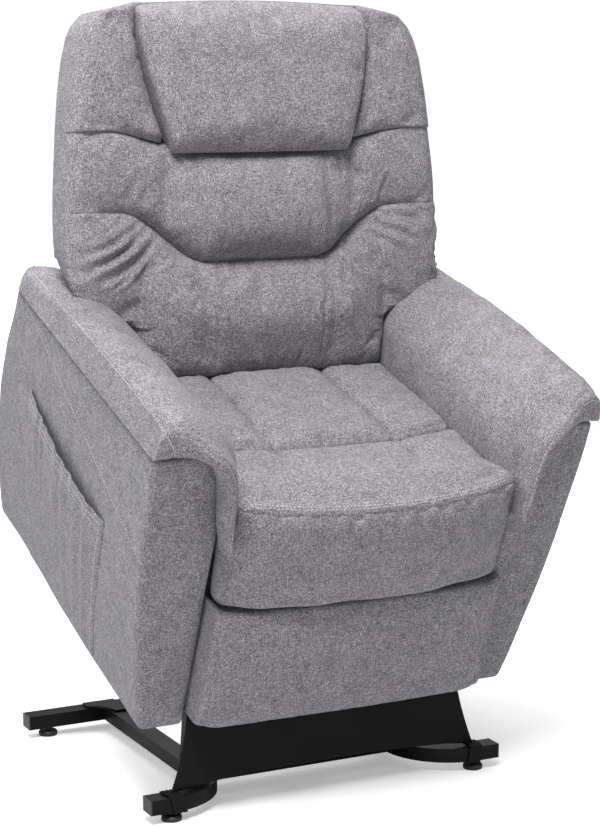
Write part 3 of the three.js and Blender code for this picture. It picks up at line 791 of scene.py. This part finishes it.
def read_layer(piece, label):
    values = np.zeros(len(piece.data.vertices), np.float32)
    piece.data.attributes[label].data.foreach_get("value", values)
    return values.astype(float)


def finish_lumbar(piece):
    subdivide(piece)
    edge, row = read_layer(piece, "from_side"), read_layer(piece, "row")

    def depth(x, v, w):
        facing = smooth((-v - 6) / 15)
        run = 390 * row
        gather = np.sin(run / 11 * math.pi * 2 + 2.1 * np.sin(run / 23.0) + edge / 16)
        length = 20 + 13 * np.sin(run / 19.0 + 1.0)
        gather = gather * bell(edge / length) * (0.65 + 0.35 * np.sin(run / 37.0))
        reach = smooth((row - 0.2) / 0.1) * smooth((0.9 - row) / 0.1)
        folds = creases(x, w, (
            ((-214, 268), (-352, 186), 9.5, 6), ((-226, 278), (-362, 214), 7.5, 6),
            ((-262, 286), (-330, 244), 4.0, 5), ((-196, 250), (-322, 166), 8.5, 6),
            ((-236, 214), (-300, 158), 5.5, 5), ((-176, 222), (-226, 190), 4.0, 5),
            ((152, 210), (160, 160), 9.0, 5), ((168, 214), (182, 176), 6.0, 5),
            ((240, 270), (330, 262), 5.0, 7), ((225, 258), (318, 222), 5.5, 7),
            ((214, 246), (290, 196), 5.0, 7), ((372, 276), (352, 226), 4.0, 7)))
        return facing * (double_seam(x) * smooth((w - 14) / 20) + 2.1 * gather * reach + folds
                         + 1.5 * uneven(x, v, w, 48, 6.0))
    press(piece, back, depth)
    for label in ("from_side", "row"):
        piece.data.attributes.remove(piece.data.attributes[label])
    dress(piece, "back", "lumbar_cushion")


SHELL_SIDE = [(0.0, 228, -58), (0.16, 231, 60), (0.32, 234, 172), (0.38, 268, 196), (0.44, 318, 212),
              (0.50, 358, 228), (0.58, 368, 296), (0.76, 352, 440), (0.90, 334, 560), (1.0, 312, 622)]


def make_back_shell():
    """Outer cover of the back: side walls and a rear panel, open towards the cushions and below."""
    grid = Grid((330, 33, 350), (22, 30, 26), (11, 9, 10), open_faces=((1, 0), (2, 0)))
    s, t = grid.share[:, 0], (grid.share[:, 2] + 1) / 2
    e = (grid.share[:, 1] + 1) / 2
    places, halves, heights = np.array(SHELL_SIDE).T
    side_x = sum(np.interp(t + d, places, halves) for d in (-0.02, 0, 0.02)) / 3
    side_w = sum(np.interp(t + d, places, heights) for d in (-0.02, 0, 0.02)) / 3
    centre_w = -58 + 703 * t
    x = s * side_x
    w = centre_w + (side_w - centre_w) * np.abs(s) ** 2.5
    crown = 5 * (1 - s**2) * np.sin(math.pi * np.clip(t, 0, 1))
    x = x * (1 - 0.045 * smooth(e / 0.8) * smooth((t - 0.4) / 0.1))
    v = 30 + e * (66 + crown)
    piece = make_cover("back_shell_cover", back, x, v, w, grid.quads)
    subdivide(piece)

    def depth(x, v, w):
        rear = smooth((v - 80) / 12)
        inset = half_width(np.maximum(w, 250)) - np.abs(x) - 46
        seam = -2.5 * bell(inset / 3) * smooth((w - 20) / 30) - 2.5 * bell((w - 20) / 3)
        return rear * (seam + 1.6 * uneven(x, v, w, 90, 3.0))
    press(piece, back, depth)
    thick = piece.modifiers.new("thick", "SOLIDIFY")
    thick.thickness = 4 * MM
    thick.offset = -1
    keep_result(piece)
    dress(piece, "back", "back_shell")


# ------------------------------------------------------------------ the arms
#
# Here and in the next section x, y and z are millimetres across, rearward and up in the chair frame.

def arm_outer(y, z):
    """How far out the arm's outer panel stands at y, z."""
    lean = np.interp(z, [40, 93, 158, 260, 365, 585], [356, 364, 372, 384, 394, 411])
    crown = 10 * np.sin(math.pi * np.clip((z - 30) / 555, 0, 1)) ** 0.8
    return lean + crown


def panel_seam(y):
    """Height of the seam that climbs across the arm's outer panel from front to rear."""
    return 366 + 216 * (y + 13) / 673


def make_arm_body(side):
    """Arm below its pad. a runs from front to rear, b from inner to outer panel and c upward, all 0 to 1."""
    grid = Grid((360, 50, 272), (12, 14, 10), 9.0)
    a, b, c = (grid.share[:, 0] + 1) / 2, (grid.share[:, 1] + 1) / 2, (grid.share[:, 2] + 1) / 2
    low = np.interp(a, [0, 0.3, 0.53, 0.78, 1], [39, 33, 38, 58, 60])
    front = 47 - 33 * c
    rear = np.interp(c, [0, 0.2, 0.55, 0.76, 0.9, 1], [768, 767, 742, 714, 684, 672])
    z = low + c * (ARM_TOP - 0.4 - low)
    y = front + a * (rear - front)
    x = ARM_INNER + 0.4 + b * (arm_outer(y, z) - ARM_INNER - 0.4)
    # the lattice runs y, x, z, which is left-handed, so the faces turn over unless the arm is mirrored
    piece = make_cover("arm_cover_" + SIDE_NAMES[side], chair, side * x, y, z, turned(grid.quads, side > 0))

    def depth(x, y, z):
        out = smooth((np.abs(x) - 340) / 12)
        long_seam = -1.6 * bell((z - panel_seam(y)) / 2.5) * out
        return long_seam + 1.1 * uneven(x, y, z, 80, 5.0 + side)
    finish(piece, "chair_frame", "arm_body_" + SIDE_NAMES[side], depth)
    return piece


PAD_TOP = [(405, 648), (385, 652), (350, 645), (312, 628), (278, 602), (259, 571), (252, 530),
           (250, 480), (250, 431)]
PAD_UNDER = [(416, 585), (387, 585.6), (345, 585.6), (306, 585.6), (284, 584), (276.6, 568), (275.8, 530),
             (275.8, 480), (275.8, 431)]
NOSE_TOP = [(406, 634), (386, 644), (358, 638), (326, 619), (298, 594), (281, 566), (274, 530),
            (272, 480), (276, 421)]
NOSE_UNDER = [(414, 592), (392, 596), (362, 597), (340, 593), (323, 581), (310, 558), (302, 522),
              (296, 475), (284, 419)]


def pad_front(x):
    """The y of the pad's front end: the outer corner is drawn back and the nose reaches forward."""
    return -27 + 36 * smooth((x - 292) / 115)


def make_arm_pad(side):
    """Padded arm top: a ribbon from the outer edge, over the top and down the inner side, with a nose.

    u runs along the ribbon's path, b from front to rear and c from its underside to its top, all 0 to 1.
    """
    grid = Grid((178, 356, 26), (12, 20, 12), (8, 8, 8))
    u, c = (grid.lattice[:, 0] + 1) / 2, (grid.lattice[:, 2] + 1) / 2
    b = (grid.lattice[:, 1] + 1) / 2
    top = along_points(PAD_TOP, u)
    front = pad_front(along_points(NOSE_TOP, u)[:, 0] * c + along_points(NOSE_UNDER, u)[:, 0] * (1 - c))
    swell = 8 * np.sin(math.pi * np.clip(c, 0, 1)) ** 0.5 * smooth((u - 0.05) / 0.2)
    recess = 22 * smooth((u - 0.5) / 0.15) * (1 - c) ** 1.5
    front = front - swell + recess
    y = front + b * (690 - front)
    ahead = 1 - smooth((y - 10.6) / 2.4)
    nose = 1 - smooth((y + 8) / 75)
    nose_top = along_points(NOSE_TOP, u)
    top = top * (1 - nose)[:, None] + nose_top * nose[:, None]
    under = along_points(PAD_UNDER, u) * (1 - ahead)[:, None] + along_points(NOSE_UNDER, u) * ahead[:, None]
    drop = 30 * smooth((y - 240) / 470)
    top[:, 1] -= drop * np.clip((top[:, 1] - 580) / 70, 0, 1)
    # round the ribbon's long outer edge and its front and rear ends
    round_front = edge_drop(b * 702, 20) * 0.55 * (1 - smooth((u - 0.85) / 0.15))
    round_rear = edge_drop((1 - b) * 702, 24) * 0.8
    outward = edge_drop(u * 356, 10)
    lift = (top - under)
    thick = np.maximum(np.linalg.norm(lift, axis=1), 1)
    scale = np.clip(1 - (round_front + round_rear + outward * 0.9) / thick, 0.1, 1)
    spot = under + (c * scale)[:, None] * lift
    spot[:, 0] -= 16 * smooth((y - 640) / 50) ** 2 * smooth((spot[:, 0] - 370) / 36)
    quads = turned(grid.quads, side > 0)
    piece = make_cover("arm_pad_cover_" + SIDE_NAMES[side], chair, side * spot[:, 0], y, spot[:, 1], quads)
    held = np.maximum.reduce([1 - smooth((c - 0.55) / 0.3), smooth((0.03 - np.minimum(u, 1 - u)) / 0.02),
                              smooth((0.03 - np.minimum(b, 1 - b)) / 0.02)])
    stuff(piece, held, 6, pressure=3.0, slack=0.02)
    return piece


def finish_arm_pad(piece, side):
    def depth(x, y, z):
        x = np.abs(x)
        upward = smooth((z - 560) / 30)
        across = -2.2 * bell((y - 215 - 18 * np.sin((x - 260) / 160 * math.pi)) / 3) * smooth((z - 470) / 60)
        ahead = y - pad_front(x)
        front_ridge = 1.6 * bell((ahead - 1) / 4) - 1.6 * bell((ahead - 11) / 3)
        outer_seam = -2.0 * bell((x - 401) / 2.2) * upward * smooth((y - 5) / 20)
        return across + front_ridge * upward + outer_seam + 1.3 * uneven(x, y, z, 60, 7.0 + side)
    finish(piece, "chair_frame", "arm_pad_" + SIDE_NAMES[side], depth)


POCKET = {"top_front": (186, 374), "top_rear": (562, 435), "low_rear": (597, 64), "low_front": (262, 52)}


def pocket_spot(a, c):
    """y, z on the pocket panel: a runs from front to rear and c from bottom to mouth."""
    corner = {k: np.array(v, float) for k, v in POCKET.items()}
    low = corner["low_front"] + a[:, None] * (corner["low_rear"] - corner["low_front"])
    top = corner["top_front"] + a[:, None] * (corner["top_rear"] - corner["top_front"])
    spot = low + c[:, None] * (top - low)
    spot[:, 1] -= 7 * np.sin(math.pi * a) * c
    return spot


def make_pocket():
    """Gathered side pocket, sewn down at its front, rear and bottom, with a slack mouth."""
    grid = Grid((180, 3.2, 165), (5, 2.6, 5), (6, 2, 8), arc=3)
    a, b, c = (grid.share[:, 0] + 1) / 2, (grid.share[:, 1] + 1) / 2, (grid.share[:, 2] + 1) / 2
    spot = pocket_spot(a, c)
    mouth = smooth((c - 0.35) / 0.65) * np.sin(math.pi * np.clip(a, 0, 1)) ** 0.6
    belly = np.sin(math.pi * np.clip(a, 0, 1)) ** 0.5 * np.sin(math.pi * np.clip(c, 0, 1) * 0.5) ** 0.6
    folds = np.sin(a * 58 + 1.6 * np.sin(a * 17) + 1.5 * c) * smooth((c - 0.25) / 0.75) * belly
    folds = folds * (0.65 + 0.35 * np.sin(a * 23 + 2))
    tucks = (bell((a - 0.11 - 0.05 * c) / 0.03) + 0.8 * bell((a - 0.24 - 0.06 * c) / 0.035)
             + 0.5 * bell((a - 0.40 - 0.05 * c) / 0.04)) * smooth(c / 0.12)
    sewn = np.minimum.reduce([a / 0.03, (1 - a) / 0.03, c / 0.03])
    base = arm_outer(spot[:, 0], spot[:, 1]) - 1.5 + 1.8 * smooth(sewn)
    proud = 1.5 * belly + 9.5 * mouth + 3.0 * folds + 5.0 * tucks
    x = base + proud + b * 3.6
    piece = make_cover("side_pocket", chair, -x, spot[:, 0], spot[:, 1], grid.quads)
    subdivide(piece)
    dress(piece, "chair_frame", "storage_pocket")
    return piece


# ------------------------------------------------------------------ the seat and the footrest

def seat_front_line(x):
    """How far forward the seat's front edge bows, as y."""
    return SEAT_FRONT + 50 * (np.abs(x) / 262) ** 2.4


def make_seat():
    """Seat cushion. s runs across from -1 to 1, b from front to rear and c upward from 0 to 1."""
    grid = Grid((255, 268, 100), (13, 24, 18), 7.5)
    s, b, c = grid.share[:, 0], (grid.share[:, 1] + 1) / 2, (grid.share[:, 2] + 1) / 2
    z = 297 + c * (SEAT_TOP - 297)
    half = 247 + 24 * smooth((0.19 - b) / 0.13) - 2.5 * smooth((400 - z) / 100)
    x = s * half
    lean = 18 * (1 - c) * (1 - (np.abs(x) / 290) ** 2)
    front = seat_front_line(x) + lean
    y = front + b * (477 - front)
    z = z - (1 - c) * (2 * np.sin(x / 38) + 1.2 * np.sin(x / 17 + 1)) * smooth((0.1 - b) / 0.1)
    rise = 5 * (1 - s**2) * smooth((b - 0.02) / 0.2) * c**4
    sink = -9 * smooth((b - 0.55) / 0.45) * c**4
    piece = make_cover("seat_cushion_cover", chair, x, y, z + rise + sink, grid.quads)
    top = smooth((c - 0.85) / 0.1)
    held = np.maximum.reduce([1 - smooth((c - 0.1) / 0.1), smooth((np.abs(s) - 0.95) / 0.04),
                              smooth((b - 0.96) / 0.03), 0.9 * bell((b - 0.035) / 0.02) * top,
                              0.9 * top * bell((np.abs(x) - channel_x(y)) / 8) * (y > 100),
                              0.9 * top * bell((y - cross_seam(x)) / 8)])
    stuff(piece, held, 9, pressure=3.5, slack=0.03)
    return piece


def channel_x(y):
    """Distance from the middle of the seat's two long channels."""
    return 125 - 13 * np.clip(y / 410, 0, 1)


def cross_seam(x):
    return 163 + 34 * np.square(x / 247)


def finish_seat(piece):
    def depth(x, y, z):
        up = smooth((z - 470) / 18)
        gap = np.abs(x) - channel_x(y)
        long_reach = smooth((y - np.where(x > 0, 62, 112)) / 60)
        channel = (-8 * bell(gap / 2.6) - 7 * bell(gap / 13)) * long_reach
        over = y - cross_seam(x)
        across = -6 * bell(over / 2.6) - 6 * bell(over / 13)
        edge = y - seat_front_line(x)
        welt = -2.6 * bell((edge - 2) / 1.8) * smooth((z - 455) / 20)
        boxing = -1.2 * bell((np.abs(x) - 125) / 2.0) * smooth((z - 380) / 30) * (1 - up) * (y < 10)
        return up * (channel + across) + welt + boxing + 1.4 * uneven(x, y, z, 65, 1.0)
    finish(piece, "chair_frame", "seat_cushion", depth, levels=2)


def make_footrest_pad():
    """Pad on the front of the footrest's board, with s, b and c as on the seat."""
    grid = Grid((273, 27, 117), (8, 10, 22), 8.0)
    s, b, c = grid.lattice[:, 0], (grid.lattice[:, 1] + 1) / 2, (grid.lattice[:, 2] + 1) / 2
    corner = 9 * bell(np.clip(c, 0, 1) / 0.09) * smooth((np.abs(s) - 0.8) / 0.2) ** 2
    x = s * (274.5 - 1.5 * c)
    by_side = smooth((np.abs(x) - 260) / 11)
    z = 57 + c * (233 + 9 * by_side) + corner
    bow = 10 * (1 - s**2) * (0.6 + 0.4 * c)
    top_drop = edge_drop((1 - c) * 233, 12) * (1 - 0.7 * by_side)
    drop = edge_drop((1 - np.abs(s)) * 273, 6) + edge_drop(c * 233, 22) + top_drop
    wrap = 9 * smooth((np.abs(x) - 267.5) / 3)
    y = 45.4 + b * wrap - (1 - b) * (53 + bow - drop)
    piece = make_cover("footrest_pad_cover", chair, x, y, z, grid.quads)
    held = np.maximum.reduce([smooth((np.abs(s) - 0.96) / 0.03), smooth((np.abs(c * 2 - 1) - 0.95) / 0.04),
                              smooth((b - 0.25) / 0.2)])
    stuff(piece, held, 6, pressure=3.0, slack=0.015)
    return piece


def finish_footrest_pad(piece):
    def depth(x, y, z):
        seam = -1.8 * bell((np.abs(x) - 262) / 2.2) * smooth((20 - y) / 12)
        return seam + 1.2 * uneven(x, y, z, 75, 9.0)
    finish(piece, "footrest_panel", "footrest_pad", depth)


# ------------------------------------------------------------------ the skirt

def make_skirt():
    """Black cloth stretched from the footrest's lower edge down to the base's front ends."""
    lo, hi = (np.array(p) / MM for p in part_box("front_skirt"))
    columns, rows = 84, 30
    points = []
    for face in (-0.7, 0.7):
        for r in range(rows + 1):
            t = r / rows
            half = 266 + 36 * (1 - t) ** 1.7
            for k in range(columns + 1):
                s = 2 * k / columns - 1
                low_edge = lo[2] + 1 + 15 * (1 - abs(s) ** 3)
                z = low_edge + t * (hi[2] - low_edge)
                pull = bell((abs(s) - 0.93) / 0.1) * math.sin(34 * s + 5 * t) * (1 - t)
                wave = 1.4 * math.sin(9 * s + 4 * t) * (1 - t)
                y = lo[1] + (hi[1] - lo[1]) * (0.25 + 0.55 * t) + wave + 1.3 * pull
                points.append((s * half, y + face, z))
    piece = make_mesh("front_skirt_cloth", np.array(points) * MM, layered_quads(rows, columns))
    piece.data.materials.append(materials["skirt_cloth"])
    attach(piece, "base")
    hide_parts("front_skirt")
    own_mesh(piece)
    ties = [make_skirt_tie(side) for side in SIDE_NAMES]


def make_skirt_tie(side):
    """The skirt's corner, wound round the front tube beside its foot."""
    lo, hi = (np.array(p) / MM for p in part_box("base_rail_left"))
    front, low, high = lo[1], lo[2], hi[2]
    middle = np.array([side * 297, front + 18, (low + high) / 2])
    half_y, half_z = 18.0, (high - low) / 2
    around, along = 48, 14
    points = []
    for outer in (False, True):
        for k in range(along + 1):
            t = k / along
            for a in range(around):
                angle = 2 * math.pi * a / around
                c, d = math.cos(angle), math.sin(angle)
                reach = 1 / max(abs(c) / half_y, abs(d) / half_z)
                far = min(reach, math.hypot(half_y, half_z) * 0.97) + 0.8
                fold = 1.1 * math.sin(7 * t * math.pi + 2.2 * math.sin(angle) + 2 * c) * math.sin(math.pi * t)
                far += 2.6 + fold if outer else 0.3
                x = (t - 0.5) * 26 + 5 * math.sin(angle + 0.6)
                points.append(middle + (x * side, c * far, d * far))
    quads = turned(layered_quads(along, around, ring=True), side < 0)
    piece = make_mesh("skirt_tie_" + SIDE_NAMES[side], np.array(points) * MM, quads)
    piece.data.materials.append(materials["skirt_cloth"])
    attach(piece, "base")
    return piece


# ------------------------------------------------------------------ rows of stitches

ALONG = np.linspace(0, 1, 60)        # shares of a stitched line's length


def line_of(*coordinates):
    """Points of a line. A coordinate may be one number, which holds all along."""
    return np.column_stack(np.broadcast_arrays(*coordinates))


def stitch_seat(seat):
    x = -240 + 480 * ALONG
    make_stitches("seat_topstitching", "chair_frame", [
        (seat, chair, line_of(x, seat_front_line(x) + inset, 500), (0, 0, -1)) for inset in (9, 14)])


def stitch_arm(side, pad, arm):
    edge = line_of(side * 404, -20 + 670 * ALONG, 640)
    u = 0.03 + 0.9 * ALONG
    nose, inner = along_points(NOSE_TOP, u), along_points(NOSE_UNDER, u)
    front = nose + (inner - nose) * (0.2 + 0.25 * u)[:, None]
    y = -4 + 654 * ALONG
    z = panel_seam(y) + 6
    make_stitches("arm_topstitching_" + SIDE_NAMES[side], "chair_frame", [
        (pad, chair, edge, (-0.5 * side, 0, -1)),
        (pad, chair, line_of(side * front[:, 0], -38, front[:, 1]), (0, 1, 0)),
        (arm, chair, line_of(side * arm_outer(y, z), y, z), (-side, 0, 0))])


def stitch_pocket(pocket):
    hems = [pocket_spot(0.02 + 0.96 * ALONG, np.full(len(ALONG), c)) for c in (0.965, 0.925)]
    hems.append(pocket_spot(np.full(len(ALONG), 0.03), 0.02 + 0.9 * ALONG))
    make_stitches("pocket_topstitching", "chair_frame", [
        (pocket, chair, line_of(-420, *hem.T), (1, 0, 0)) for hem in hems])


def stitch_back(middle, lumbar, pillow):
    runs = []
    for piece, low, high in ((middle, 210, 396), (lumbar, 40, 190)):
        for at in SEWN:
            for shift in (-5, 5):
                w = low + (high - low) * ALONG
                runs.append((piece, back, line_of(at + shift, -60, w), (0, 1, 0)))
    w = 420 + 225 * ALONG
    for side in (-1, 1):
        runs.append((pillow, back, line_of(side * (pillow_side(w) - 13), -60, w), (0, 1, 0)))
    make_stitches("back_topstitching", "back", runs, width=0.9, proud=0.3, thread=grey_thread)


# ------------------------------------------------------------------ floor, lights and camera

CAMERA_AZIMUTH = math.radians(-27.15)
CAMERA_ELEVATION = math.radians(9.27)
CAMERA_DISTANCE = 3.758              # in metres, from the point it looks at
CAMERA_LENS = 93.07
SENSOR_WIDTH = 36
CAMERA_SHIFT = (-0.0089, 0.0015)
LOOK_AT = (0.352, 0.667)             # behind the chair's front and above the floor, in metres


def make_floor():
    """Pale floor that brightens into a white background away from the chair."""
    made, tree, shader, solid = new_material("pale_floor", 0.95)
    far = node(tree, "ShaderNodeVectorMath", {"operation": "LENGTH"})
    tree.links.new(solid, far.inputs[0])
    grow = node(tree, "ShaderNodeMapRange", {"interpolation_type": "SMOOTHSTEP"}, Value=far.outputs["Value"],
                From_Min=0.6, From_Max=1.3, To_Min=0.35)
    shader.inputs["Base Color"].default_value = (0.82, 0.82, 0.82, 1)
    shader.inputs["Emission Color"].default_value = (1, 1, 1, 1)
    seen = node(tree, "ShaderNodeLightPath").outputs["Is Camera Ray"]
    glow = math_node(tree, "MULTIPLY", grow.outputs["Result"], seen)
    tree.links.new(glow, shader.inputs["Emission Strength"])
    reach = 30
    corners = [(-reach, -reach, 0), (reach, -reach, 0), (reach, reach, 0), (-reach, reach, 0)]
    floor = make_mesh("floor", corners, [[0, 1, 2, 3]])
    floor.data.materials.append(made)


def make_light(name, place, target, size, power):
    data = bpy.data.lights.new(name, "AREA")
    data.shape = "DISK"
    data.size = size
    data.energy = power
    lamp = bpy.data.objects.new(name, data)
    lamp.location = place
    aim(lamp, Vector(target) - Vector(place))


def aim(thing, toward):
    """Turns a lamp or camera so that it looks along a direction."""
    thing.rotation_mode = "QUATERNION"
    thing.rotation_quaternion = toward.to_track_quat("-Z", "Y")
    bpy.context.scene.collection.objects.link(thing)


def make_lights():
    world = bpy.data.worlds.new("studio")
    world.use_nodes = True
    tree = world.node_tree
    seen = node(tree, "ShaderNodeLightPath").outputs["Is Camera Ray"]
    strength = node(tree, "ShaderNodeMapRange", Value=seen, To_Min=0.33, To_Max=1.0)
    tree.nodes["Background"].inputs["Color"].default_value = (1, 1, 1, 1)
    tree.links.new(strength.outputs["Result"], tree.nodes["Background"].inputs["Strength"])
    bpy.context.scene.world = world
    bpy.context.scene.view_settings.view_transform = "Standard"
    low, high = cad_box
    middle = (low + high) / 2
    make_light("key", (-1.3, -1.8, 4.1), middle, 1.7, 228)
    make_light("side", (-3.2, 0.4, 2.6), middle, 1.6, 38)
    make_light("top", (0.1, 1.1, 3.5), middle, 1.4, 62)
    make_light("back_rim", (1.5, 2.6, 2.4), middle, 2.0, 25)


def make_camera():
    low, _ = cad_box
    target = Vector((0, low.y + LOOK_AT[0], low.z + LOOK_AT[1]))
    level = math.cos(CAMERA_ELEVATION)
    toward = Vector((math.sin(CAMERA_AZIMUTH) * level, -math.cos(CAMERA_AZIMUTH) * level,
                     math.sin(CAMERA_ELEVATION)))
    data = bpy.data.cameras.new("camera")
    data.lens = CAMERA_LENS
    data.sensor_width = SENSOR_WIDTH
    data.shift_x, data.shift_y = CAMERA_SHIFT
    camera = bpy.data.objects.new("camera", data)
    camera.location = target + toward * CAMERA_DISTANCE
    aim(camera, -toward)
    bpy.context.scene.camera = camera


# ------------------------------------------------------------------ the whole scene

def build_chair():
    finish_cad_nodes()
    middle, upper, pillow, lumbar = make_middle_band(), make_upper_band(), make_pillow(), make_lumbar()
    pads = [make_arm_pad(side) for side in SIDE_NAMES]
    seat, foot = make_seat(), make_footrest_pad()
    run_stuffing()
    finish_middle_band(middle)
    finish_upper_band(upper)
    finish_pillow(pillow)
    finish_lumbar(lumbar)
    for side, pad in zip(SIDE_NAMES, pads):
        finish_arm_pad(pad, side)
    finish_seat(seat)
    finish_footrest_pad(foot)
    make_back_shell()
    arms = [make_arm_body(side) for side in SIDE_NAMES]
    pocket = make_pocket()
    make_skirt()
    stitch_seat(seat)
    for side, pad, arm in zip(SIDE_NAMES, pads, arms):
        stitch_arm(side, pad, arm)
    stitch_pocket(pocket)
    stitch_back(middle, lumbar, pillow)


build_chair()
make_floor()
make_lights()
make_camera()
